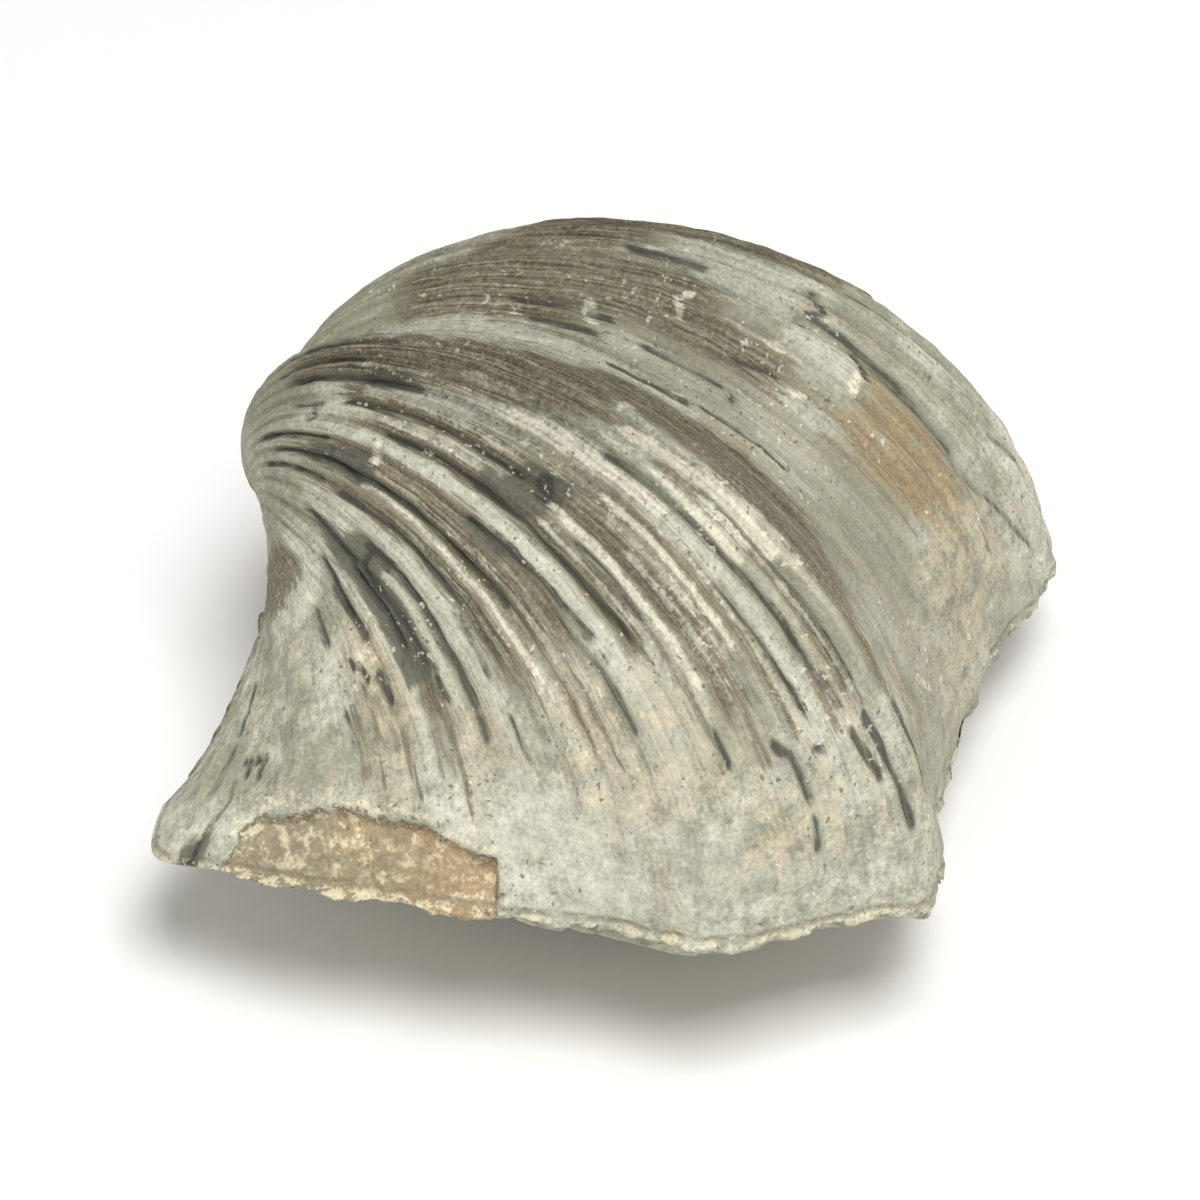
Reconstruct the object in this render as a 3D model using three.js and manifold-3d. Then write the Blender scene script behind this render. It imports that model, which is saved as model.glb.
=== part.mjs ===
// A spiriferid brachiopod, two valves and their filling turned into one piece of stone.
// Millimetres, +Z up. The hinge line runs along X and the front edge is at +Y. The strongly inflated ventral
// valve is on top, its beak curled back over the hinge, and the shell lies on the shallower dorsal valve.
// The origin is on the surface that the shell rests on, under the middle of its bounding box.

import * as THREE from "three";
import { mergeVertices } from "three/addons/utils/BufferGeometryUtils.js";
import Module from "manifold-3d";

// The edge where the two valves meet, seen from above: from the tip of the short wing (+X), round the front,
// to the tip of the long wing. The short wing is broken back, so the two sides don't match.
const edgeOutline = [
  [18.5, 0], [20, 6], [19, 13], [17, 21], [16, 26], [8.5, 32.5], [0, 30],
  [-9, 29.5], [-16.5, 29.5], [-21.5, 23.5], [-23, 16], [-23.5, 8], [-25, 0],
];

// The sulcus, a trough down the middle of the ventral valve. The dorsal valve has a matching fold, because
// the shared edge dips there. It starts at a distance in front of the hinge and deepens over its run.
const sulcus = { halfWidth: 5.8, depth: 3.2, squareness: 4, start: 12, run: 14 };

// Each valve is the edge swept round a pole near the hinge: it turns about X towards its beak, and shrinks as
// it goes by a rate that can rise with the angle. Angles in degrees, shrink per radian, side is up or down.
const ventral = { side: 1, poleY: -1.7, poleZ: 4.2, turn: 180, shrink: 0.29, tighten: 0.28, fineRows: 12, rows: 20 };
const dorsal = { side: -1, poleY: -3, poleZ: -1.3, turn: 125, shrink: 1.6, tighten: 0, fineRows: 8, rows: 11 };
const widthPower = 1.03;

// Ribs fan out from the beaks. Each has a rounded crest and a narrow groove. They fade at the wing tips and
// are weaker in the sulcus. The edge zigzags up and down where the ribs of the two valves interlock, by a
// share of their height, and the zigzag turns into full ribs over the first part of the sweep.
const ribs = { count: 40, height: 0.42, samples: 4, roundness: 0.6, tipFade: 0.05, sulcusShare: 0.45 };
const zigzag = { share: 0.5, fade: 0.08 };
const hingeSteps = 10;

// How the shell lies: the nose-up pitch, the roll that lifts the short wing, and the depth of stone worn
// from its underside, which leaves the flat face it rests on.
const restPitch = 1.5;
const restRoll = -8;
const wornDepth = 1;

const fossilStone = new THREE.MeshStandardMaterial({ color: 0x9c9a84, roughness: 0.75, metalness: 0 });

const edgeCurve = new THREE.CatmullRomCurve3(
  edgeOutline.map(([x, y]) => new THREE.Vector3(x, y, 0)), false, "catmullrom", 0.5);
edgeCurve.arcLengthDivisions = 600;

function troughShare(point) {
  const across = Math.exp(-(Math.abs(point.x / sulcus.halfWidth) ** sulcus.squareness));
  return across * THREE.MathUtils.clamp((point.y - sulcus.start) / sulcus.run, 0, 1);
}

// Height of the ribbing at a share of the way round the edge: -1 in a groove, +1 on a crest.
function ribWave(along, trough) {
  const wave = 2 * Math.abs(Math.cos(Math.PI * along * ribs.count)) ** ribs.roundness - 1;
  const tip = THREE.MathUtils.smoothstep(Math.min(along, 1 - along), 0, ribs.tipFade);
  return wave * tip * (1 - (1 - ribs.sulcusShare) * trough);
}

// A point of the valve's ring before the sweep. Ribs stand out from the ring, except at the edge itself,
// where they become the shared zigzag.
function ringPoint(along, valve, share) {
  const point = edgeCurve.getPointAt(along);
  const tangent = edgeCurve.getTangentAt(along);
  const trough = troughShare(point);
  const wave = ribs.height * ribWave(along, trough);
  const standing = THREE.MathUtils.smoothstep(share, 0, zigzag.fade);
  point.x += tangent.y * wave * valve.side * standing;
  point.y -= tangent.x * wave * valve.side * standing;
  point.z = wave * zigzag.share * (1 - standing) - sulcus.depth * trough;
  return point;
}

function sweep(point, valve, share) {
  const angle = THREE.MathUtils.degToRad(valve.turn) * share;
  const scale = Math.exp(-(valve.shrink + valve.tighten * angle) * angle);
  const cos = Math.cos(angle);
  const sin = Math.sin(angle) * valve.side;
  const y = point.y - valve.poleY;
  const z = point.z - valve.poleZ;
  return new THREE.Vector3(
    point.x * scale ** widthPower,
    valve.poleY + scale * (y * cos - z * sin),
    valve.poleZ + scale * (y * sin + z * cos));
}

// One closed ring: round the edge with so many points to a rib, and back along the straight hinge line.
function makeRing(valve, row) {
  const share = row / valve.rows;
  const samples = row <= valve.fineRows ? ribs.samples : 1;
  const steps = ribs.count * samples;
  const ring = [];
  for (let i = 0; i <= steps; i++) ring.push(sweep(ringPoint(i / steps, valve, share), valve, share));
  const tips = [edgeCurve.getPoint(1), edgeCurve.getPoint(0)];
  for (let i = 1; i < hingeSteps; i++) {
    ring.push(sweep(tips[0].clone().lerp(tips[1], i / hingeSteps), valve, share));
  }
  return { points: ring, samples };
}

const vertices = [];
const triangles = [];

function addRing(ring) {
  const first = vertices.length;
  vertices.push(...ring.points);
  return { first, count: ring.points.length, samples: ring.samples };
}

// Joins two rings. Where one has more points to a rib than the other, each rib's points share a fan.
function stitch(a, b) {
  const ribPoints = Math.max(a.samples, b.samples);
  const stepA = a.samples / ribPoints;
  const stepB = b.samples / ribPoints;
  const ribSteps = ribs.count * ribPoints;
  for (let i = 0; i < ribSteps + hingeSteps; i++) {
    const at = (ring, step, k) => {
      const onRibs = Math.min(k, ribSteps) * step;
      const index = Math.floor(onRibs) + Math.max(0, k - ribSteps);
      return ring.first + (index % ring.count);
    };
    const [a0, a1] = [at(a, stepA, i), at(a, stepA, i + 1)];
    const [b0, b1] = [at(b, stepB, i), at(b, stepB, i + 1)];
    if (a0 !== a1) triangles.push([a0, a1, b1]);
    if (b0 !== b1) triangles.push([a0, b1, b0]);
  }
}

// Closes a beak with a fan round the middle of its last ring.
function capRing(ring, facesForward) {
  const middle = new THREE.Vector3();
  for (let i = 0; i < ring.count; i++) middle.addScaledVector(vertices[ring.first + i], 1 / ring.count);
  const centre = vertices.push(middle) - 1;
  for (let i = 0; i < ring.count; i++) {
    const here = ring.first + i;
    const next = ring.first + (i + 1) % ring.count;
    triangles.push(facesForward ? [here, next, centre] : [next, here, centre]);
  }
}

// From the dorsal beak, down and round to the edge, then up and over to the ventral beak.
function shellGeometry() {
  const rings = [];
  for (let row = dorsal.rows; row > 0; row--) rings.push(addRing(makeRing(dorsal, row)));
  for (let row = 0; row <= ventral.rows; row++) rings.push(addRing(makeRing(ventral, row)));
  for (let i = 1; i < rings.length; i++) stitch(rings[i - 1], rings[i]);
  capRing(rings[0], false);
  capRing(rings[rings.length - 1], true);
  const geometry = new THREE.BufferGeometry().setFromPoints(vertices);
  geometry.setIndex(triangles.flat());
  const lie = new THREE.Matrix4().makeRotationY(THREE.MathUtils.degToRad(restRoll));
  lie.multiply(new THREE.Matrix4().makeRotationX(THREE.MathUtils.degToRad(restPitch)));
  return geometry.applyMatrix4(lie);
}

const wasm = await Module();
wasm.setup();

function toSolid(geometry) {
  const bare = geometry.clone();
  bare.deleteAttribute("normal");
  bare.deleteAttribute("uv");
  const merged = mergeVertices(bare, 1e-5);
  return new wasm.Manifold(new wasm.Mesh({
    numProp: 3,
    vertProperties: new Float32Array(merged.attributes.position.array),
    triVerts: new Uint32Array(merged.index.array),
  }));
}

function toGeometry(solid) {
  const mesh = solid.getMesh();
  const geometry = new THREE.BufferGeometry();
  geometry.setAttribute("position", new THREE.BufferAttribute(mesh.vertProperties, mesh.numProp));
  geometry.setIndex(new THREE.BufferAttribute(mesh.triVerts, 1));
  return geometry;
}

// Takes the worn stone off the underside, and moves the shell to its origin.
function wearFlat(geometry) {
  geometry.computeBoundingBox();
  const { min, max } = geometry.boundingBox;
  const size = new THREE.Vector3().subVectors(max, min).multiplyScalar(2);
  const kept = new THREE.BoxGeometry(size.x, size.y, size.z);
  kept.translate((min.x + max.x) / 2, (min.y + max.y) / 2, min.z + wornDepth + size.z / 2);
  const worn = toGeometry(toSolid(geometry).intersect(toSolid(kept)));
  worn.computeBoundingBox();
  const box = worn.boundingBox;
  worn.translate(-(box.min.x + box.max.x) / 2, -(box.min.y + box.max.y) / 2, -box.min.z);
  worn.computeVertexNormals();
  return worn;
}

const fossil = new THREE.Mesh(wearFlat(shellGeometry()), fossilStone);
fossil.name = "brachiopod_fossil";

const part = new THREE.Group();
part.add(fossil);

export default part;
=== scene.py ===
import math

import bpy
import numpy as np
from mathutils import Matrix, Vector, noise


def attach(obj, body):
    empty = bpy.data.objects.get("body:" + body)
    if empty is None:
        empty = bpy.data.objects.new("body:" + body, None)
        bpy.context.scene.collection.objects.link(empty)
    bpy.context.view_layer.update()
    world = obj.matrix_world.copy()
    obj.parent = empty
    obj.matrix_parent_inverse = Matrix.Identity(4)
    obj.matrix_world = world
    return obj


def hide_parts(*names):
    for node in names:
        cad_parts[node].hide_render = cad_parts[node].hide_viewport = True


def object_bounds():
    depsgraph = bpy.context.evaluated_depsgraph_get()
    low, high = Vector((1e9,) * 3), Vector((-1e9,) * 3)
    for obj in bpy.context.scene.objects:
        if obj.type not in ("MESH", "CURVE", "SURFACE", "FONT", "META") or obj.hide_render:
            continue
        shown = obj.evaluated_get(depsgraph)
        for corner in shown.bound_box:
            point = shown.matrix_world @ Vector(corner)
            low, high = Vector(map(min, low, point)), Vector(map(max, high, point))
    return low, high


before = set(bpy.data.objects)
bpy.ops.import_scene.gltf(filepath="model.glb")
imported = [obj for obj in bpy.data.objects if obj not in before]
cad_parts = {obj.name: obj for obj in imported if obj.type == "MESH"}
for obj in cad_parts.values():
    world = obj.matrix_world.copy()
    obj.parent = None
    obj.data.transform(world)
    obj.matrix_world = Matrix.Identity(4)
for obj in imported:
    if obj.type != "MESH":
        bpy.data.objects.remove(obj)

cad_low, cad_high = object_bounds()
MM = 0.001


# ---------------------------------------------------------------------------------------------------------
# The table: a sheet of matt white card that the fossil lies on, wide enough to run out of sight, and soft
# studio light over it. One big softbox hangs high on the camera's side, and white walls fill the shadows.
# ---------------------------------------------------------------------------------------------------------

class Socket:
    """A node socket of one material. Sums on it add Math nodes, and node() adds any other node."""

    def __init__(self, tree, socket=None):
        self.tree = tree
        self.socket = socket

    def node(self, kind, inputs=None, output=0, **settings):
        made = self.tree.nodes.new(kind)
        for name, value in settings.items():
            setattr(made, name, value)
        for name, value in (inputs or {}).items():
            if isinstance(value, Socket):
                self.tree.links.new(value.socket, made.inputs[name])
            else:
                made.inputs[name].default_value = value
        return Socket(self.tree, made.outputs[output])

    def math(self, operation, first, second=0.0):
        return self.node("ShaderNodeMath", {0: first, 1: second}, operation=operation)

    def __add__(self, other):
        return self.math("ADD", self, other)

    def __sub__(self, other):
        return self.math("SUBTRACT", self, other)

    def __rsub__(self, other):
        return self.math("SUBTRACT", other, self)

    def __mul__(self, other):
        return self.math("MULTIPLY", self, other)

    __radd__ = __add__
    __rmul__ = __mul__

    def rise(self, low, high):
        """0 below low, 1 above high and a smooth step between."""
        return self.node("ShaderNodeMapRange", {"Value": self, "From Min": low, "From Max": high},
                         interpolation_type="SMOOTHSTEP")

    def blend(self, colour, share):
        """This colour turned into another one by a share."""
        return self.node("ShaderNodeMix", {0: share, 6: self, 7: colour}, output=2, data_type="RGBA")


def linear(*paint):
    """A paint chart's 0 to 255 red, green and blue as linear light, with a full alpha after them."""
    shares = [level / 255 for level in paint]
    return *(s / 12.92 if s <= 0.04 else ((s + 0.055) / 1.055) ** 2.4 for s in shares), 1


def new_material(name):
    material = bpy.data.materials.new(name)
    material.use_nodes = True
    material.node_tree.nodes.clear()
    return material, Socket(material.node_tree)


def finish_surface(start, shader):
    output = start.tree.nodes.new("ShaderNodeOutputMaterial")
    start.tree.links.new(shader.socket, output.inputs["Surface"])


card_white = linear(246, 245, 244)
card_roughness = 0.9
card_half_width = 1.5
card_mesh = bpy.data.meshes.new("card")
card_corners = [(x * card_half_width, y * card_half_width, 0)
                for x, y in ((-1, -1), (1, -1), (1, 1), (-1, 1))]
card_mesh.from_pydata(card_corners, [], [(0, 1, 2, 3)])
card = bpy.data.objects.new("card", card_mesh)
bpy.context.scene.collection.objects.link(card)
card_material, start = new_material("matt white card")
card_surface = {"Base Color": card_white, "Roughness": card_roughness}
finish_surface(start, start.node("ShaderNodeBsdfPrincipled", card_surface))
card_mesh.materials.append(card_material)

wall_light = (1, 0.995, 0.98, 1)
wall_strength = 0.42
world = bpy.data.worlds.new("white walls")
world.use_nodes = True
walls = world.node_tree.nodes["Background"].inputs
walls["Color"].default_value = wall_light
walls["Strength"].default_value = wall_strength
bpy.context.scene.world = world
bpy.context.scene.view_settings.view_transform = "Standard"

middle = (cad_low + cad_high) / 2


def viewing_direction(azimuth, elevation):
    """From the fossil towards the eye. Azimuth 0 looks along +Y, and elevation is above the table."""
    a, e = math.radians(azimuth), math.radians(elevation)
    return Vector((math.sin(a) * math.cos(e), -math.cos(a) * math.cos(e), math.sin(e)))


def softbox(name, azimuth, elevation, distance, size, power):
    light = bpy.data.lights.new(name, "AREA")
    light.size = size
    light.energy = power
    lamp = bpy.data.objects.new(name, light)
    towards = viewing_direction(azimuth, elevation)
    lamp.location = middle + towards * distance
    lamp.rotation_mode = "QUATERNION"
    lamp.rotation_quaternion = towards.to_track_quat("Z", "Y")
    bpy.context.scene.collection.objects.link(lamp)


softbox("key softbox", azimuth=130, elevation=68, distance=0.8, size=0.28, power=5.4)

# The camera looks down on the short wing's flank, and aims a little off the middle of the solid's box.
camera_azimuth = 112.8
camera_elevation = 44.8
camera_distance = 0.3
camera_lens = 200
aim_right = -1.6 * MM
aim_up = -1.9 * MM

towards_eye = viewing_direction(camera_azimuth, camera_elevation)
camera = bpy.data.objects.new("camera", bpy.data.cameras.new("camera"))
camera.data.lens = camera_lens
camera.data.dof.use_dof = False
camera.rotation_mode = "QUATERNION"
camera.rotation_quaternion = towards_eye.to_track_quat("Z", "Y")
screen_right = camera.rotation_quaternion @ Vector((1, 0, 0))
screen_up = camera.rotation_quaternion @ Vector((0, 1, 0))
camera.location = middle + screen_right * aim_right + screen_up * aim_up + towards_eye * camera_distance
camera.data.clip_start = 0.01
bpy.context.scene.collection.objects.link(camera)
bpy.context.scene.camera = camera


# ---------------------------------------------------------------------------------------------------------
# The fossil: a spiriferid brachiopod, two closed valves and the mud between them turned into one grey-green
# stone. Each valve is one spiral sweep of the edge where the valves meet, as the living shell grew, so the
# ribs, growth lines and colours all follow two measures: place along the edge, and growth back to the beak.
# ---------------------------------------------------------------------------------------------------------

# The form, in millimetres and degrees, the same as the solid it stands for.
edge_outline = [
    (18.5, 0), (20, 6), (19, 13), (17, 21), (16, 26), (8.5, 32.5), (0, 30),
    (-9, 29.5), (-16.5, 29.5), (-21.5, 23.5), (-23, 16), (-23.5, 8), (-25, 0),
]
rib_count = 40
sulcus_half_width, sulcus_depth, sulcus_start, sulcus_run = 5.8, 3.2, 12, 14
ventral = dict(side=1, pole=(-1.7, 4.2), turn=180, shrink=0.29, tighten=0.28, rows=152)
dorsal = dict(side=-1, pole=(-3, -1.3), turn=125, shrink=1.6, tighten=0, rows=48)
width_power = 1.03
rest_pitch, rest_roll = 1.5, -8
edge_steps, hinge_steps = 440, 16


def smoothstep(value, low, high):
    t = np.clip((value - low) / (high - low), 0, 1)
    return t * t * (3 - 2 * t)


def within(value, low, high, soft):
    """1 from low to high, with soft ends outside them."""
    return smoothstep(value, low - soft, low) * (1 - smoothstep(value, high, high + soft))


def spline(points, count):
    """Points evenly spaced along a smooth Catmull-Rom curve through the given ones."""
    p = np.array(points, float)
    p = np.vstack([2 * p[0] - p[1], p, 2 * p[-1] - p[-2]])
    place = np.linspace(0, len(p) - 3, 4000)
    first = np.minimum(place.astype(int), len(p) - 4)
    t = (place - first)[:, None]
    a, b, c, d = (p[first + i] for i in range(4))
    curve = (2 * b + (c - a) * t + (2 * a - 5 * b + 4 * c - d) * t**2 + (3 * b - a - 3 * c + d) * t**3) / 2
    run = np.concatenate([[0], np.cumsum(np.linalg.norm(np.diff(curve, axis=0), axis=1))])
    even = np.linspace(0, run[-1], count)
    return np.stack([np.interp(even, run, curve[:, k]) for k in (0, 1)], 1)


def sweep_scale(valve, share):
    """The angle that a valve's ring has turned by at a share of the sweep, and what it has shrunk to."""
    angle = math.radians(valve["turn"]) * share
    return angle, np.exp(-(valve["shrink"] + valve["tighten"] * angle) * angle)


def even_shares(valve):
    """Shares of the sweep, 0 at the edge and 1 at the beak, that lie evenly over the surface."""
    fine = np.linspace(0, 1, 2000)
    angle, scale = sweep_scale(valve, fine)
    run = np.concatenate([[0], np.cumsum((scale[1:] + scale[:-1]) / 2 * np.diff(angle))])
    return np.interp(np.linspace(0, run[-1], valve["rows"] + 1), run, fine)


# The ring that is swept: round the edge, then back along the straight hinge line.
edge = spline(edge_outline, edge_steps + 1)
back = np.linspace(edge[-1], edge[0], hinge_steps + 1)[1:-1]
ring = np.vstack([edge, back])
columns = len(ring)
rib = np.concatenate([np.linspace(0, rib_count, edge_steps + 1),
                      np.where(np.arange(len(back)) < len(back) / 2, rib_count, 0)])
on_flank = np.concatenate([np.ones(edge_steps + 1), np.zeros(len(back))])
trough = np.exp(-np.abs(ring[:, 0] / sulcus_half_width) ** 4)
trough = trough * np.clip((ring[:, 1] - sulcus_start) / sulcus_run, 0, 1) * on_flank

# Every row of the sweep, from the dorsal beak round to the edge and on to the ventral beak.
rows = [(dorsal, share) for share in even_shares(dorsal)[:0:-1]]
rows += [(ventral, share) for share in even_shares(ventral)]
row_count = len(rows)
side = np.array([valve["side"] for valve, _ in rows], float)[:, None]
share = np.array([share for _, share in rows])[:, None]
edge_row = dorsal["rows"]

shape = np.zeros((row_count, columns, 3))
growth = np.zeros((row_count, 1))
for index, (valve, row_share) in enumerate(rows):
    angle, scale = sweep_scale(valve, row_share)
    pole_y, pole_z = valve["pole"]
    y, z = ring[:, 1] - pole_y, -sulcus_depth * trough - pole_z
    cos, sin = math.cos(angle), math.sin(angle) * valve["side"]
    shape[index, :, 0] = ring[:, 0] * scale**width_power
    shape[index, :, 1] = pole_y + scale * (y * cos - z * sin)
    shape[index, :, 2] = pole_z + scale * (y * sin + z * cos)
    growth[index] = scale

along_rows = np.gradient(shape, axis=0)
along_ring = (np.roll(shape, -1, axis=1) - np.roll(shape, 1, axis=1)) / 2
outward = np.cross(along_ring, along_rows)
outward /= np.linalg.norm(outward, axis=2, keepdims=True) + 1e-12


def roughness(scale_mm, octaves, shift=0.0):
    """Even-handed noise of about -1 to 1 over the fossil, with lumps of the given size in millimetres."""
    offset = Vector((shift, shift * 1.7, shift * 2.3))
    flat = shape.reshape(-1, 3) / scale_mm
    values = [noise.fractal(Vector(p) + offset, 0.9, 2.0, octaves) for p in flat]
    return np.array(values).reshape(row_count, columns)


lumps = roughness(7.0, 2)
grit = roughness(1.1, 4, 11.0)
wander = roughness(3.2, 3, 23.0)

# Ribs wander a little from their even places. rib_place is 0 at the short wing's tip, with a crest at each
# whole number and a groove half way between. Share is 0 at the edge and 1 at the beak.
rib_wander = 0.06
rib_place = rib + rib_wander * wander * on_flank * smoothstep(share, 0.02, 0.2)
ventral_side = (side > 0) * on_flank
dorsal_side = (side < 0) * on_flank

# Millimetres to one rib across, and to the whole sweep along, at each point. FAR is beyond any line's reach.
rib_mm = np.linalg.norm(along_ring, axis=2) * edge_steps / rib_count
share_mm = np.linalg.norm(along_rows, axis=2) / np.gradient((side * share)[:, 0])[:, None]
FAR = 9.0


def away_from(line, fraying=0.6):
    """Millimetres from each point of the ventral valve to a line through (rib, share) places. Millimetres
    along the ribs count for less, by the fraying factor, so that whatever is drawn tapers at its ends."""
    nearest = np.full((row_count, columns), FAR)
    for (rib_a, share_a), (rib_b, share_b) in zip(line, line[1:]):
        across, down = (rib_b - rib_a) * rib_mm, (share_b - share_a) * share_mm * fraying
        x, y = (rib_place - rib_a) * rib_mm, (share - share_a) * share_mm * fraying
        t = np.clip((x * across + y * down) / (across**2 + down**2), 0, 1)
        nearest = np.minimum(nearest, np.hypot(x - across * t, y - down * t))
    return nearest


def drawn(lines):
    """Millimetres inside the nearest of some lines, each given as its width and its places."""
    deepest = np.full((row_count, columns), -FAR)
    for width, line in lines:
        deepest = np.maximum(deepest, width / 2 - away_from(line))
    return np.where(ventral_side > 0, deepest, -FAR)


def covered(patches, fraying=0.6):
    """Millimetres inside the nearest of some patches, each given as the places of its corners."""
    deepest = np.full((row_count, columns), -FAR)
    for corners in patches:
        closed = corners + corners[:1]
        inside = np.zeros((row_count, columns), bool)
        for (rib_a, share_a), (rib_b, share_b) in zip(closed, closed[1:]):
            if share_a != share_b:
                meets = rib_a + (share - share_a) / (share_b - share_a) * (rib_b - rib_a)
                inside ^= ((share_a > share) != (share_b > share)) & (rib_place < meets)
        deepest = np.maximum(deepest, away_from(closed, fraying) * np.where(inside, 1, -1))
    return np.where(ventral_side > 0, deepest, -FAR)


# How far the ribs stand: worn away towards the broken edge and on the smooth wing, faint in the trough.
worn_ribs = [0, 4, 8, 11, 13, 16, 20, 26, 40]
worn_shares = [0.1, 0.1, 0.1, 0.085, 0.05, 0.03, 0.06, 0.06, 0.04]
worn_limit = np.interp(rib, worn_ribs, worn_shares)
worn = (1 - smoothstep(share + 0.015 * wander, worn_limit - 0.03, worn_limit + 0.05)) * ventral_side
bare_wing = (1 - smoothstep(rib + wander * 0.5, 3.6, 5.2)) * ventral_side
smooth = np.maximum(worn, 0.85 * bare_wing)
faint = within(rib, 16.8, 21.2, 0.9) * ventral_side
strength = (1 - 0.85 * worn) * (1 - 0.92 * bare_wing) * (1 - 0.75 * faint) * (1 - 0.35 * dorsal_side)
strength = strength * smoothstep(np.minimum(rib, rib_count - rib), 0.2, 2) * on_flank
strength = strength * (1 - 0.3 * within(rib, 4.0, 9.0, 1.5) * ventral_side)
strength = strength * (1 - 0.8 * smoothstep(share, 0.48, 0.62))
rib_height = 0.30
rib_wave = 2 * np.abs(np.cos(np.pi * rib_place)) ** 0.6 - 1
relief = rib_height * strength * rib_wave * growth**0.8

# Charcoal-dark mud in the deepest grooves and cracks, as (width in mm, [(rib, share), ...]).
mud_lines = [
    (0.13, [(0.80, 0.11), (0.72, 0.17)]), (0.10, [(0.72, 0.19), (0.90, 0.26)]),
    (0.08, [(1.45, 0.133), (1.5, 0.150)]), (0.08, [(1.8, 0.13), (1.85, 0.148)]),
    (0.07, [(1.3, 0.150), (1.9, 0.152)]), (0.22, [(1.20, -0.01), (1.15, 0.04)]),
    (0.20, [(4.30, 0.26), (4.35, 0.30)]), (0.09, [(4.30, 0.15), (4.30, 0.18)]),
    (0.06, [(4.90, 0.225), (5.20, 0.205)]), (0.28, [(5.52, 0.245), (5.50, 0.30), (5.85, 0.34)]),
    (0.14, [(5.55, 0.18), (5.48, 0.205)]), (0.20, [(6.45, 0.22), (6.50, 0.31)]),
    (0.22, [(6.82, 0.20), (6.80, 0.30)]), (0.26, [(6.70, 0.31), (6.75, 0.36), (6.92, 0.395)]),
    (0.11, [(6.90, 0.165), (6.80, 0.22)]), (0.26, [(7.50, 0.24), (7.42, 0.31)]),
    (0.24, [(7.40, 0.155), (7.44, 0.235)]), (0.20, [(7.38, 0.13), (7.40, 0.145)]),
    (0.17, [(6.95, 0.30), (7.35, 0.305)]), (0.06, [(8.15, 0.11), (8.10, 0.14)]),
    (0.05, [(8.10, 0.17), (8.10, 0.22)]), (0.11, [(8.45, 0.18), (8.45, 0.30), (8.38, 0.37)]),
    (0.13, [(9.45, 0.21), (9.45, 0.35)]), (0.16, [(9.35, 0.35), (9.55, 0.41)]),
    (0.15, [(9.42, 0.40), (9.40, 0.50)]), (0.17, [(10.72, 0.12), (10.66, 0.16)]),
    (0.20, [(10.90, 0.175), (10.80, 0.22), (10.62, 0.27)]),
    (0.20, [(11.58, 0.165), (11.50, 0.24), (11.62, 0.29), (11.50, 0.36)]),
    (0.12, [(12.15, 0.17), (12.10, 0.22)]), (0.42, [(12.45, 0.252), (12.85, 0.257)]),
    (0.15, [(12.50, 0.27), (12.45, 0.36), (12.38, 0.41)]), (0.15, [(12.18, 0.09), (12.2, 0.106)]),
    (0.26, [(13.18, 0.090), (13.42, 0.083), (13.48, 0.062)]), (0.22, [(13.48, 0.052), (13.38, 0.040)]),
    (0.12, [(14.02, 0.10), (13.95, 0.16)]), (0.11, [(13.88, 0.082), (14.05, 0.081)]),
    (0.12, [(14.72, 0.095), (14.64, 0.15), (14.52, 0.20), (14.45, 0.245)]),
    (0.22, [(14.78, 0.08), (14.98, 0.060)]), (0.46, [(15.20, 0.082), (15.36, 0.060)]),
    (0.34, [(15.38, 0.056), (15.52, 0.034)]), (0.18, [(15.38, 0.16), (15.42, 0.10)]),
    (0.40, [(16.05, 0.08), (16.2, 0.045)]), (0.15, [(12.08, 0.44), (12.10, 0.475)]),
    (0.09, [(11.3, 0.446), (12.05, 0.443)]), (0.11, [(13.55, 0.36), (13.50, 0.42), (13.55, 0.50)]),
    (0.09, [(14.5, 0.42), (14.5, 0.52)]), (0.09, [(10.5, 0.42), (10.5, 0.54)]),
    (0.08, [(8.5, 0.40), (8.5, 0.52)]), (0.09, [(15.5, 0.40), (15.5, 0.55)]),
    (0.11, [(19.80, 0.25), (19.75, 0.295)]), (0.14, [(20.15, 0.19), (20.05, 0.24)]),
    (0.12, [(19.10, 0.20), (19.15, 0.24)]), (0.12, [(21.15, 0.235), (21.20, 0.28)]),
    (0.12, [(20.95, 0.31), (20.90, 0.35)]), (0.09, [(20.85, 0.228), (21.10, 0.226)]),
    (0.11, [(21.65, 0.30), (21.68, 0.36)]), (0.12, [(22.0, 0.225), (22.3, 0.20)]),
    (0.20, [(24.80, 0.26), (24.85, 0.30)]), (0.12, [(24.10, 0.158), (24.5, 0.168)]),
    (0.16, [(25.6, 0.205), (25.1, 0.195), (24.75, 0.20), (24.62, 0.15), (24.50, 0.10)]),
    (0.09, [(24.40, 0.085), (24.9, 0.05), (25.3, 0.032)]), (0.12, [(25.8, 0.09), (26.3, 0.06)]),
]

# Two more in each groove of the long wing, on the side turned away from the camera.
chance = np.random.default_rng(5)
for groove in np.arange(26.5, 39):
    for _ in range(2):
        low_end = chance.uniform(0.04, 0.3)
        width = chance.uniform(0.1, 0.28)
        high_end = low_end + chance.uniform(0.05, 0.2)
        mud_lines.append((width, [(groove, low_end), (groove, high_end)]))

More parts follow.
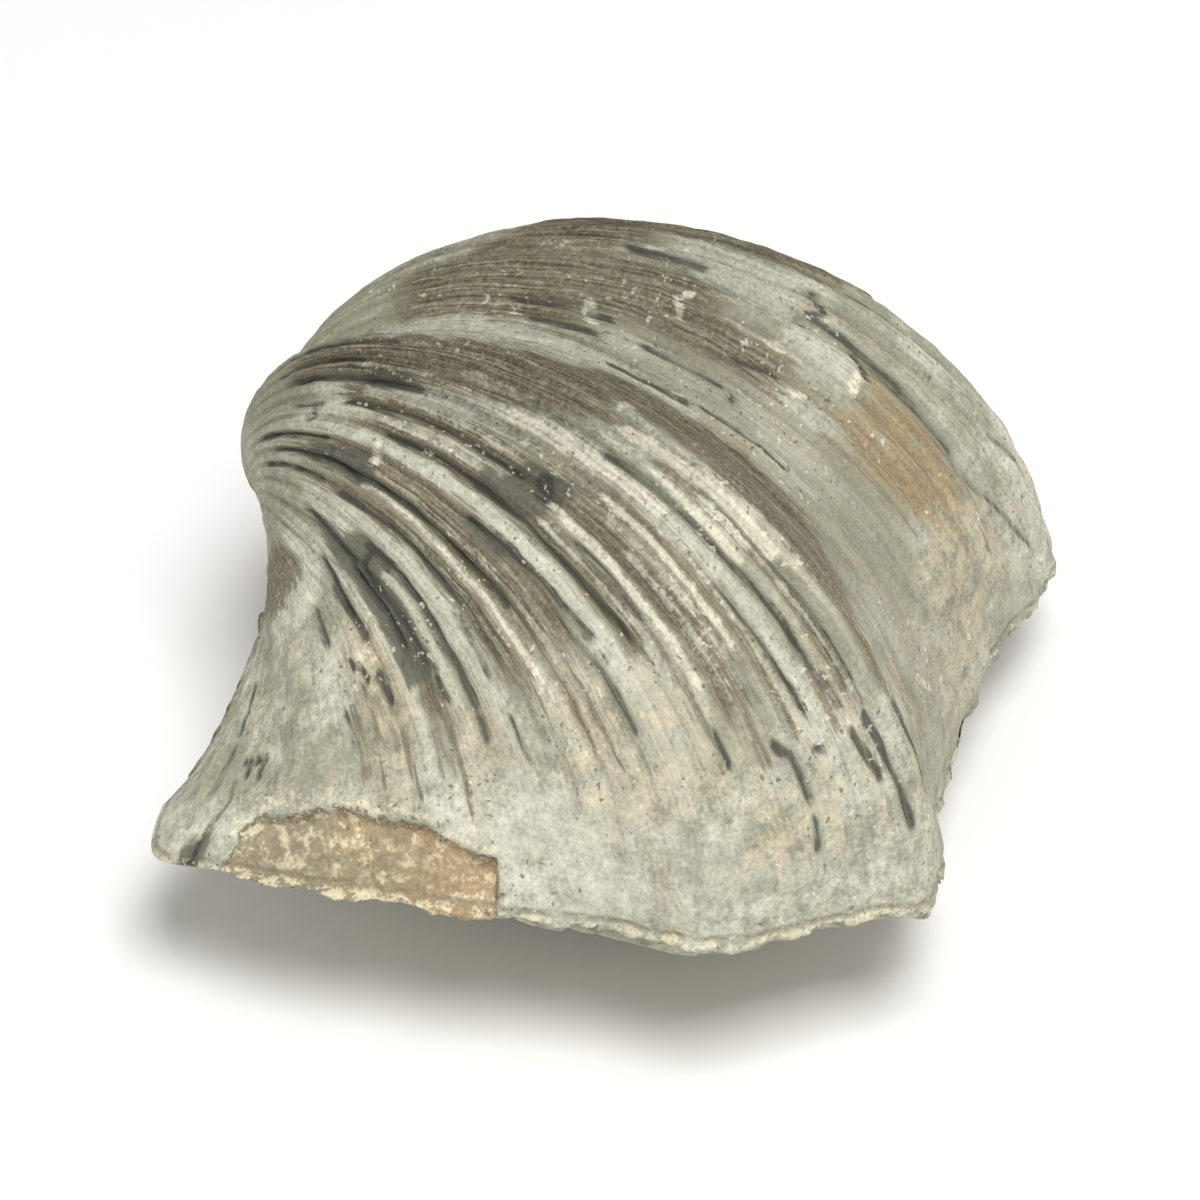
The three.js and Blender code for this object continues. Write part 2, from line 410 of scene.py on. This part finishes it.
# Rib crests knocked bare and pale, cream streaks where a chip shows fresh rock, and fine threads of stone
# that show through the brown shell.
bare_lines = [
    (1.0, [(11.15, 0.09), (11.1, 0.24), (11.12, 0.40)]), (1.5, [(7.85, 0.09), (7.9, 0.40)]),
    (0.5, [(7.12, 0.16), (7.12, 0.275)]), (0.8, [(6.1, 0.12), (6.15, 0.34)]),
    (0.9, [(14.25, 0.10), (14.2, 0.29)]), (0.8, [(13.2, 0.36), (13.45, 0.33), (13.85, 0.31)]),
    (1.4, [(19.3, 0.25), (19.8, 0.34), (19.9, 0.46)]), (2.3, [(16.8, 0.405), (19.8, 0.395)]),
    (0.8, [(0.0, 0.38), (1.2, 0.35)]), (1.0, [(2.4, 0.32), (4.2, 0.325), (5.6, 0.355)]),
    (0.7, [(11.5, 0.47), (11.6, 0.44)]), (1.0, [(12.8, 0.44), (12.9, 0.41)]),
    (0.6, [(16.0, 0.50), (18.0, 0.485), (20.5, 0.47)]),
]
cream_lines = [
    (0.22, [(9.15, 0.13), (9.10, 0.2), (9.15, 0.28), (9.22, 0.35)]),
    (0.4, [(12.35, 0.13), (12.35, 0.2), (12.4, 0.245)]), (0.35, [(13.42, 0.14), (13.5, 0.23)]),
    (0.7, [(13.95, 0.295), (14.12, 0.25), (14.22, 0.21)]),
    (0.75, [(15.55, 0.165), (15.6, 0.2), (15.35, 0.247)]), (0.25, [(15.7, 0.26), (16.1, 0.255)]),
    (0.40, [(14.75, 0.17), (14.8, 0.22)]), (0.14, [(5.0, 0.224), (5.5, 0.232)]),
    (0.28, [(22.5, 0.255), (23.0, 0.26), (23.6, 0.257)]), (0.30, [(21.4, 0.312), (21.95, 0.31)]),
    (0.22, [(21.0, 0.361), (21.4, 0.36)]), (0.35, [(23.4, 0.158), (24.0, 0.162)]),
    (0.6, [(23.1, 0.205), (23.3, 0.203)]), (0.30, [(22.1, 0.19), (22.3, 0.18)]),
    (0.4, [(25.1, 0.29), (25.4, 0.272)]), (0.25, [(19.7, 0.257), (20.0, 0.256)]),
    (0.35, [(10.4, 0.355), (10.9, 0.36)]), (0.25, [(19.8, 0.07), (20.4, 0.055)]),
]
thread_lines = [
    (0.22, [(9.88, 0.15), (9.92, 0.30), (10.05, 0.41)]), (0.16, [(8.62, 0.16), (8.66, 0.30)]),
    (0.30, [(11.02, 0.30), (11.1, 0.45)]), (0.20, [(11.85, 0.13), (11.9, 0.24)]),
    (0.22, [(12.02, 0.28), (12.0, 0.42)]), (0.24, [(13.15, 0.12), (13.12, 0.22)]),
    (0.18, [(12.75, 0.10), (12.8, 0.20)]), (0.20, [(12.95, 0.28), (12.9, 0.40)]),
    (0.26, [(13.85, 0.09), (13.8, 0.20)]), (0.20, [(15.15, 0.09), (15.1, 0.20)]),
    (0.20, [(14.6, 0.26), (14.7, 0.34)]), (0.16, [(15.4, 0.30), (15.5, 0.44)]),
    (0.16, [(14.2, 0.36), (14.25, 0.48)]), (0.18, [(16.6, 0.27), (16.5, 0.33)]),
    (0.16, [(22.4, 0.28), (22.3, 0.42)]), (0.16, [(21.4, 0.34), (21.5, 0.44)]),
    (0.18, [(23.4, 0.27), (23.5, 0.38)]), (0.18, [(25.2, 0.31), (25.4, 0.38)]),
    (0.20, [(27.2, 0.18), (27.3, 0.33)]), (0.22, [(30.1, 0.18), (30.0, 0.38)]),
]

# Brown shell, the last of the real shell layer, where it still covers the ribs, and thin slips of it.
brown_patches = [
    [(8.30, 0.165), (9.0, 0.16), (9.05, 0.34), (8.85, 0.42), (8.2, 0.42)],
    [(9.24, 0.18), (10.5, 0.175), (10.95, 0.2), (10.8, 0.28), (10.9, 0.37), (10.4, 0.45), (9.24, 0.46)],
    [(11.4, 0.155), (12.15, 0.155), (12.2, 0.38), (11.35, 0.40)],
    [(12.55, 0.11), (13.1, 0.11), (13.2, 0.3), (13.0, 0.36), (13.2, 0.42), (12.25, 0.42), (12.48, 0.25)],
    [(13.0, 0.11), (13.32, 0.11), (13.35, 0.24), (13.1, 0.28)],
    [(13.65, 0.11), (14.05, 0.10), (14.0, 0.17), (13.75, 0.23), (13.6, 0.2)],
    [(14.92, 0.09), (15.4, 0.09), (15.3, 0.22), (14.95, 0.24)],
    [(13.95, 0.34), (14.3, 0.29), (15.2, 0.258), (17, 0.255), (19.2, 0.2), (19.1, 0.295), (17.5, 0.325),
     (16, 0.34), (15.8, 0.42), (15.2, 0.5), (13.5, 0.5), (13.5, 0.38)],
    [(15.9, 0.09), (16.6, 0.12), (19.3, 0.165), (19.2, 0.26), (16, 0.26)],
    [(6.35, 0.15), (6.85, 0.15), (6.9, 0.3), (6.35, 0.3)],
    [(21.7, 0.2), (22.9, 0.19), (23.0, 0.24), (24.2, 0.24), (24.4, 0.36), (24.1, 0.45), (20.8, 0.45),
     (20.7, 0.38), (20.85, 0.31), (21.7, 0.32)],
    [(24.4, 0.31), (26.0, 0.29), (26.3, 0.2), (28.6, 0.15), (28.8, 0.34), (24.5, 0.4)],
    [(-1, 0.40), (1.0, 0.375), (2.5, 0.345), (4.0, 0.345), (4.9, 0.37), (4.4, 0.45), (-1, 0.47)],
    [(29.3, 0.14), (30.7, 0.16), (30.6, 0.4), (29.5, 0.44)],
    [(32.4, 0.1), (33.6, 0.08), (33.5, 0.3), (32.6, 0.34)],
    [(34.5, 0.16), (36.4, 0.14), (36.2, 0.3), (34.7, 0.36)],
]
brown_lines = [
    (0.16, [(4.5, 0.12), (4.45, 0.22)]), (0.18, [(4.95, 0.11), (5.0, 0.20)]),
    (0.14, [(5.3, 0.14), (5.35, 0.20)]), (0.20, [(5.6, 0.10), (5.5, 0.18)]),
    (0.20, [(6.3, 0.11), (6.35, 0.20)]), (0.16, [(6.65, 0.08), (6.7, 0.15)]),
    (0.18, [(8.9, 0.08), (8.85, 0.16)]), (0.16, [(9.6, 0.09), (9.5, 0.17)]),
    (0.18, [(10.1, 0.10), (10.0, 0.18)]), (0.30, [(12.0, 0.09), (12.1, 0.16)]),
    (0.26, [(12.9, 0.085), (12.9, 0.12)]), (0.24, [(13.7, 0.09), (13.75, 0.16)]),
    (0.22, [(14.6, 0.085), (14.6, 0.14)]), (0.30, [(15.95, 0.09), (16.0, 0.20)]),
    (0.20, [(1.1, 0.05), (1.3, 0.11)]), (0.14, [(2.3, 0.10), (2.4, 0.14)]),
    (0.18, [(20.4, 0.30), (20.5, 0.38)]), (0.16, [(21.9, 0.10), (21.8, 0.17)]),
    (0.16, [(24.0, 0.05), (24.2, 0.11)]), (0.20, [(31.5, 0.1), (31.5, 0.3)]),
    (0.20, [(35.5, 0.06), (35.4, 0.16)]), (0.18, [(37.5, 0.08), (37.4, 0.22)]),
]

# Crests and patches knocked bare, and patches dark with ground-in mud.
bare_patches = [
    [(23.0, 0.155), (24.3, 0.158), (24.5, 0.195), (24.1, 0.205), (23.0, 0.205)],
    [(24.1, 0.205), (25.9, 0.21), (26.1, 0.28), (25.3, 0.3), (24.6, 0.265), (24.2, 0.26)],
    [(6.9, 0.09), (9.9, 0.10), (10.0, 0.0), (7.1, 0.0)],
    [(10.6, 0.09), (12.0, 0.09), (11.9, 0.15), (10.8, 0.16)],
]
muddy_patches = [
    [(6.15, 0.185), (6.98, 0.19), (7.05, 0.285), (7.55, 0.28), (7.6, 0.325), (7.0, 0.335), (7.0, 0.40),
     (6.55, 0.37), (6.2, 0.33)],
    [(9.2, 0.33), (9.8, 0.35), (10.6, 0.36), (10.2, 0.41), (9.7, 0.43), (9.2, 0.42)],
    [(11.5, 0.252), (12.4, 0.240), (13.2, 0.246), (13.0, 0.268), (12.2, 0.276), (11.6, 0.272)],
    [(11.5, 0.262), (12.1, 0.265), (12.1, 0.285), (11.5, 0.285)],
    [(10.4, 0.24), (10.85, 0.24), (10.8, 0.27), (10.4, 0.27)],
    [(13.3, 0.38), (14.0, 0.37), (14.0, 0.40), (13.3, 0.41)],
    [(1.0, -0.02), (1.35, -0.02), (1.3, 0.045), (1.0, 0.045)],
]

# Darker over the umbo, and more thinly along the trough.
umbo_dusk = (0.18 + 0.36 * smoothstep(rib, 10, 14)) * within(share, 0.5, 0.58, 0.14)
trough_dusk = (0.42 - 0.36 * smoothstep(share, 0.3, 0.36)) * within(rib, 17.2, 24.0, 1.5)
dusk = np.maximum(umbo_dusk, trough_dusk) * ventral_side

# Tan and beige stains in the rock, and the broken recess along the short wing's edge.
tan_patches = [
    [(21.7, 0.165), (22.4, 0.16), (24.5, 0.158), (24.4, 0.1), (24.2, 0.078), (23.2, 0.06), (22.6, 0.075),
     (22.0, 0.11)],
]
beige_patches = [
    [(11.8, 0.035), (14.2, 0.04), (14.0, 0.075), (12.2, 0.07)],
    [(8.8, 0.065), (10.5, 0.07), (10.3, 0.16), (8.9, 0.15)],
    [(4.3, 0.10), (5.4, 0.09), (6.1, 0.16), (5.9, 0.26), (4.9, 0.24)],
    [(6.9, 0.10), (8.0, 0.11), (7.8, 0.16), (7.0, 0.15)],
    [(10.6, 0.075), (12.2, 0.08), (12.1, 0.14), (10.8, 0.14)],
    [(21.0, 0.02), (24.6, 0.03), (24.4, 0.08), (21.5, 0.09)],
    [(17.5, 0.03), (19.0, 0.03), (18.8, 0.10), (17.8, 0.10)],
    [(30.0, 0.03), (33.0, 0.04), (32.6, 0.10), (30.5, 0.11)],
]
recess_corners = [
    (1.5, -0.05), (1.75, 0.06), (2.0, 0.078), (2.5, 0.088), (3.0, 0.086), (3.7, 0.096), (4.1, 0.086),
    (5.0, 0.078), (5.7, 0.072), (6.3, 0.056), (6.65, 0.046), (7.0, 0.046), (7.02, -0.05),
]

mud = drawn(mud_lines)
chipped = drawn(cream_lines)
thread = drawn(thread_lines)
bare = np.maximum(drawn(bare_lines), covered(bare_patches))
muddy = covered(muddy_patches)
brown = np.maximum(covered(brown_patches, fraying=0.26), drawn(brown_lines))
stained = covered(tan_patches)
beige = covered(beige_patches)
recess_raggedness = 0.14
recess = covered([recess_corners]) + recess_raggedness * grit

# What the markings do to the surface: sunken mud and chips, raised shell, the recess and its crumbled rim.
mud_depth = 0.14
chip_depth = 0.06
shell_thickness = 0.07
recess_depth = 0.55
rim_height = 0.16
crumbs = np.clip(0.5 + 3.0 * grit, 0, 2) * (share > 0.02)
relief -= mud_depth * smoothstep(mud, -0.16, 0.06)
relief -= chip_depth * smoothstep(chipped, -0.10, 0.10)
relief += shell_thickness * smoothstep(brown + 0.25 * grit, -0.10, 0.12)
relief -= recess_depth * smoothstep(recess, -0.05, 0.25) * smoothstep(share, 0.0, 0.015)
relief += rim_height * within(recess, -0.45, -0.12, 0.2) * crumbs

# Wear over everything: slow lumps, fine grit, flaky worn stone, and the chipped edge where the valves meet.
lump_height = 0.10
grit_height = 0.05
flake_height = 0.15
edge_reach = 1.1
flakes = roughness(1.7, 3, 47.0)
jags = roughness(0.9, 2, 31.0)
near_edge = np.exp(-((share * share_mm / edge_reach) ** 2)) * on_flank
relief += lump_height * lumps * growth**0.5 + grit_height * grit
relief += flake_height * flakes * worn
relief += near_edge * (0.30 * wander - 0.12 + 0.22 * grit + 0.16 * jags) * np.where(rib < 24, 1.0, 0.7)

# The wing's back ridge, and fine threads along every rib.
ridge_height = 0.20
thread_height = 0.085
ridge = drawn([(0.4, [(0.0, 0.37), (1.2, 0.355), (2.5, 0.33), (4.2, 0.325), (5.2, 0.35)])])
relief += ridge_height * smoothstep(ridge, -0.4, 0.15) * smoothstep(rib, 0.2, 2.0)
threads = [noise.fractal(Vector((r * 4.5, s * 16.0, 3.0)), 0.9, 2.0, 3)
           for r, s in zip(rib_place.flatten(), np.broadcast_to(share * side, rib_place.shape).flatten())]
threads = np.array(threads).reshape(row_count, columns)
relief += thread_height * threads * growth**0.5 * on_flank * (1 - 0.8 * smooth)

# Growth lines: faint steps that follow old positions of the edge.
growth_step = 0.05
for line_share in (0.045, 0.105, 0.16, 0.23, 0.32, 0.42):
    step = smoothstep(share + 0.004 * wander, line_share - 0.006, line_share + 0.006)
    relief += growth_step * growth * (step - 0.5) * on_flank * np.exp(-((share - line_share) / 0.03) ** 2)

# The short wing's tip is a thick rounded knob, and the front corner beside the trough hangs lower.
knob_height = 0.5
knob = np.exp(-((rib / 1.6) ** 2)) * np.exp(-((share * share_mm / 2.2) ** 2)) * on_flank
relief += knob_height * knob
corner = np.exp(-(((rib - 15.7) / 1.0) ** 2)) * np.exp(-((share * share_mm / 2.5) ** 2)) * on_flank

points = shape + outward * relief[..., None]
zigzag_height = 0.12
points[edge_row, :, 2] += zigzag_height * strength[edge_row] * rib_wave[edge_row]
corner_shift = np.array([0.5, 0.2, -0.7])
knob_shift = np.array([0.2, 0.0, -0.6])
points += corner[..., None] * corner_shift + knob[..., None] * knob_shift

# Both wing tips are rounded over, by evening out the surface near them, and the short wing's tip is pushed
# outwards, back and down.
tip_reach = 5.0
tip_passes = 70
evening = 0.6
to_tips = [np.linalg.norm(shape - shape[edge_row, column], axis=2) for column in (0, edge_steps)]
rounding = (1 - smoothstep(np.minimum(*to_tips), 0.5, tip_reach))[1:-1, :, None]
for _ in range(tip_passes):
    around = (np.roll(points, 1, axis=1) + np.roll(points, -1, axis=1))[1:-1] + points[2:] + points[:-2]
    points[1:-1] += rounding * evening * (around / 4 - points[1:-1])
tip_shift = np.array([1.0, -1.3, -1.05])
points += np.exp(-((to_tips[0] / 3.2) ** 2))[..., None] * tip_shift

# Laid at rest, placed by the solid's box, and worn flat where it lies.
cos, sin = math.cos(math.radians(rest_pitch)), math.sin(math.radians(rest_pitch))
pitched = points @ np.array([[1, 0, 0], [0, cos, sin], [0, -sin, cos]])
cos, sin = math.cos(math.radians(rest_roll)), math.sin(math.radians(rest_roll))
laid = pitched @ np.array([[cos, 0, -sin], [0, 1, 0], [sin, 0, cos]])
low, high = laid.reshape(-1, 3).min(0), laid.reshape(-1, 3).max(0)
laid[..., :2] += np.array(middle[:2]) / MM - (low[:2] + high[:2]) / 2
laid[..., 2] += cad_high.z / MM - high[2]
laid[..., 2] = np.maximum(laid[..., 2], 0)

beaks = [laid[0].mean(0), laid[-1].mean(0)]
vertices = np.vstack([laid.reshape(-1, 3), beaks]) * MM
faces = []
for row in range(row_count - 1):
    for column in range(columns):
        following = (column + 1) % columns
        faces.append((row * columns + column, row * columns + following,
                      (row + 1) * columns + following, (row + 1) * columns + column))
dorsal_beak, ventral_beak = row_count * columns, row_count * columns + 1
last_row = (row_count - 1) * columns
for column in range(columns):
    following = (column + 1) % columns
    faces.append((following, column, dorsal_beak))
    faces.append((last_row + column, last_row + following, ventral_beak))

fossil_mesh = bpy.data.meshes.new("fossil")
fossil_mesh.from_pydata(vertices.tolist(), [], faces)
fossil_mesh.polygons.foreach_set("use_smooth", [True] * len(faces))

# A flat map of the surface: place along the ring across, and rows of the sweep upwards.
flat_map = fossil_mesh.uv_layers.new(name="OFBake")
places = []
for row in range(row_count - 1):
    for column in range(columns):
        left, right = column / columns, (column + 1) / columns
        bottom, top = (row + 1) / (row_count + 1), (row + 2) / (row_count + 1)
        places += [left, bottom, right, bottom, right, top, left, top]
first_height, last_height = 1 / (row_count + 1), row_count / (row_count + 1)
for column in range(columns):
    left, centre, right = column / columns, (column + 0.5) / columns, (column + 1) / columns
    places += [right, first_height, left, first_height, centre, 0]
    places += [left, last_height, right, last_height, centre, 1]
flat_map.data.foreach_set("uv", places)


def store(name, values):
    """Keeps a measure on every point of the mesh for the material to read."""
    filled = np.broadcast_to(values, (row_count, columns)).reshape(-1)
    filled = np.concatenate([filled, [filled[0], filled[-1]]]).astype(np.float32)
    fossil_mesh.attributes.new(name, "FLOAT", "POINT").data.foreach_set("value", filled)


store("rib_place", rib_place)
store("share", share)
store("mud", mud)
store("muddy", muddy)
store("bare", bare)
store("chipped", chipped)
store("thread", thread)
store("brown", brown)
store("stained", stained)
store("beige", beige)
store("recess", recess)
store("worn", worn)
store("smooth", smooth)
store("dusk", dusk)
store("crest", np.cos(2 * np.pi * rib_place) * strength)
store("near_edge", near_edge)

# Painted shade: a band across the ribs, above the middle of the valve, where they turn up and away, which
# darkens every colour alike.
shaded_ribs = np.interp(rib, [12, 13.5, 17, 20, 23.5, 25, 29, 30], [0, 1, 1, 0.6, 0.6, 1, 1, 0])
store("shade", within(share, 0.28, 0.42, 0.12) * shaded_ribs * ventral_side)

fossil = bpy.data.objects.new("fossil", fossil_mesh)
bpy.context.scene.collection.objects.link(fossil)

# Its stone: matt grey-green mudstone, streaked along the ribs, with brown shell, charcoal in the grooves and
# cream chips where it has been knocked.
stone, start = new_material("fossil stone")


def measure(name):
    """One of the measures stored on the mesh."""
    return start.node("ShaderNodeAttribute", output="Fac", attribute_name=name)


def speckle(size_mm, detail=3.0, vector=None):
    """Noise about 0.5, with lumps of the given size. It fills space, or follows a vector in millimetres."""
    where = vector or start.node("ShaderNodeTexCoord", output="Object")
    scale = 1 / (size_mm * MM) if vector is None else 1 / size_mm
    return start.node("ShaderNodeTexNoise", {"Vector": where, "Scale": scale, "Detail": detail})


mottle = speckle(4.0)
fine = speckle(0.75, 5.0)
grain = speckle(0.20, 3.0)

# Streaks and hairs follow the ribs: their maps count a rib as its real width, but the sweep as much shorter
# than it is, which draws the noise out along the ribs.
rib_width = 2.34
streak_sweep = 9.0
hair_sweep = 3.2
across = measure("rib_place") * rib_width
along_ribs = start.node("ShaderNodeCombineXYZ", {"X": across, "Y": measure("share") * streak_sweep})
long_threads = start.node("ShaderNodeCombineXYZ", {"X": across, "Y": measure("share") * hair_sweep})
streaks = speckle(0.34, 5.0, vector=along_ribs)
broad_streaks = speckle(1.3, 3.0, vector=along_ribs)
hairs = 0.5 + (speckle(0.24, 2.5, vector=long_threads) - 0.5) * (1 - measure("smooth") * 0.75)
blotches = (speckle(1.5, 4.0) - 0.5) * measure("smooth")

grey_green = linear(161, 161, 141)
pale_green = linear(200, 199, 181)
warm_beige = linear(186, 176, 150)
shell_dark = linear(99, 93, 74)
shell_light = linear(144, 136, 114)
charcoal = linear(56, 56, 51)
mud_grey = linear(92, 92, 80)
dark_olive = linear(132, 129, 107)
beige_stone = linear(191, 179, 151)
cream = linear(228, 222, 200)
tan = linear(157, 136, 103)
recess_tan = linear(176, 154, 121)
recess_dull = linear(160, 150, 124)
recess_light = linear(210, 199, 168)
rim_cream = linear(217, 208, 177)


def mixed(first, second, share_of_second):
    """Two plain colours mixed by a share."""
    return start.node("ShaderNodeMix", {0: share_of_second, 6: first, 7: second}, output=2, data_type="RGBA")


# Bare stone first: grey-green and pale green, beige, a darker olive over the umbo and trough, and grooves
# darkened partly by dirt and partly by painted shade. Every edge between two colours is broken up by the
# same grain and streaks.
ragged = (fine - 0.5) * 0.8 + (streaks - 0.5) * 1.1 + (hairs - 0.5) * 0.8 + (grain - 0.5) * 0.6
rubbed = measure("share").rise(0.08, 0.16) * measure("rib_place").rise(4.5, 6.5)
colour = mixed(grey_green, pale_green, (mottle + ragged * 0.25 + blotches * 0.35).rise(0.36, 0.70))
colour = colour.blend(warm_beige, (broad_streaks + ragged * 0.12).rise(0.46, 0.66) * 0.55)
colour = colour.blend(pale_green, (measure("worn") + ragged * 0.5 - 0.3).rise(0.2, 0.9) * 0.55)
# Darker olive over the umbo and along the trough, as far as the dusk measure reaches.
colour = colour.blend(dark_olive, (measure("dusk") + ragged * 0.5).rise(0.1, 0.95) * 0.9)
# Darker grooves between the ribs: partly dirt ground into them, partly painted shade.
colour = colour.blend(dark_olive, (ragged * 0.8 - measure("crest")).rise(-0.2, 0.7) * rubbed * 0.6)
colour = colour.blend(pale_green, (measure("bare") + ragged * 0.6).rise(-0.2, 0.35) * 0.65)
stain = (measure("stained") + ragged * 1.2).rise(-0.4, 0.8)
colour = colour.blend(tan, stain * (streaks + (fine - 0.5) * 0.6).rise(0.25, 0.55) * 0.9)
beige = (measure("beige") + ragged * 1.6).rise(-0.5, 0.6)
colour = colour.blend(beige_stone, beige * (fine + (grain - 0.5) * 0.5).rise(0.36, 0.56) * 0.6)

# Brown shell over it, with holes and threads of stone, and the patches of mud.
shell_reach = measure("brown") + (streaks - 0.5) * 1.2 + (hairs - 0.5) * 1.2 + (grain - 0.5) * 0.6
shell = shell_reach.rise(-0.12, 0.12)
shell_colour = mixed(shell_dark, shell_light, (hairs * 0.55 + streaks * 0.25 + grain * 0.2).rise(0.36, 0.62))
shell_holes = (hairs * 0.55 + fine * 0.25 + grain * 0.2).rise(0.585, 0.635)
thread = (measure("thread") + ragged * 0.5).rise(-0.14, 0.08)
colour = colour.blend(shell_colour, shell * (1 - shell_holes * 0.7) * (1 - thread * 0.7))
colour = colour.blend(mud_grey, (measure("muddy") + ragged * 0.55).rise(-0.24, 0.05) * 0.88)

# The recess, from dull to tan along the wing, with its cream rim and, inside that, a dark line of painted
# shade under the rim.
recess_wide = measure("recess") + (fine - 0.5) * 0.6 + (grain - 0.5) * 0.3
recess_turn = (measure("rib_place") + (mottle - 0.5) * 5 + (fine - 0.5) * 4).rise(3.0, 5.6)
recess_colour = mixed(recess_dull, recess_tan, recess_turn)
recess_colour = recess_colour.blend(recess_light, (fine + (grain - 0.5) * 0.4).rise(0.48, 0.66) * 0.7)
colour = colour.blend(recess_colour, recess_wide.rise(-0.05, 0.08))
rim = recess_wide.rise(-0.36, -0.22) * (1 - recess_wide.rise(-0.14, -0.04))
colour = colour.blend(rim_cream, rim * (fine + (grain - 0.5) * 0.5).rise(0.47, 0.57) * 0.8)
# Painted shade: a dark line just inside the recess, under its rim.
rim_painted_shade = recess_wide.rise(-0.04, 0.03) * (1 - recess_wide.rise(0.06, 0.20))
colour = colour.blend(shell_dark, rim_painted_shade * fine.rise(0.38, 0.55) * 0.75)

# Chips, the dark mud lines and their halo, the cracked edge of the valves, cream specks and dark pits.
colour = colour.blend(cream, (measure("chipped") + ragged * 0.35).rise(-0.08, 0.12) * 0.75)
halo = (measure("mud") + ragged * 0.4).rise(-0.26, 0.06)
colour = colour.blend(mud_grey, halo * 0.45)
line = (measure("mud") + ragged * 0.35 + (broad_streaks - 0.5) * 0.3).rise(-0.13, 0.045)
colour = colour.blend(charcoal, line * (streaks.rise(0.3, 0.6) * 0.3 + 0.52))
edge_crack = measure("near_edge").rise(0.55, 0.75) * (1 - measure("near_edge").rise(0.80, 0.95))
colour = colour.blend(shell_dark, edge_crack * (fine + (grain - 0.5) * 0.6).rise(0.42, 0.52) * 0.65)
edge_chips = measure("near_edge").rise(0.70, 0.95) * (fine + (grain - 0.5) * 0.6).rise(0.47, 0.55)
colour = colour.blend(rim_cream, edge_chips * 0.6)
speck_fields = (mottle + (broad_streaks - 0.5) * 1.2).rise(0.48, 0.62)
specks = (speckle(0.34, 3.0) + (speck_fields - 1) * 0.10).rise(0.605, 0.665)
colour = colour.blend(cream, specks * 0.6)
pits = (1 - speckle(0.30, 1.5).rise(0.28, 0.34)) * mottle.rise(0.38, 0.55)
colour = colour.blend(mud_grey, pits * 0.7)

# The finest light and dark of the stone's own tone, and the painted shade, multiply the colour.
tone_and_painted_shade = (fine - 0.5) * 0.6 + (grain - 0.5) * 0.9 + (hairs - 0.5) * 0.8 + blotches * 0.55 + 1.0
# Painted shade: the band stored as shade darkens every colour alike.
tone_and_painted_shade = tone_and_painted_shade - measure("shade") * 0.33
colour = start.node("ShaderNodeMix", {0: 1.0, 6: colour, 7: tone_and_painted_shade}, output=2, data_type="RGBA",
                    blend_type="MULTIPLY")

bump_distance = 0.16 * MM
bump_height = grain * 0.45 + fine * 0.7 + hairs * 0.7
normal = start.node("ShaderNodeBump", {"Height": bump_height, "Strength": 0.7, "Distance": bump_distance})
finish_surface(start, start.node("ShaderNodeBsdfPrincipled", {
    "Base Color": colour, "Roughness": fine * 0.2 + 0.62, "Specular IOR Level": 0.3, "Normal": normal}))
fossil_mesh.materials.append(stone)

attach(fossil, "root")
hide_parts("brachiopod_fossil")
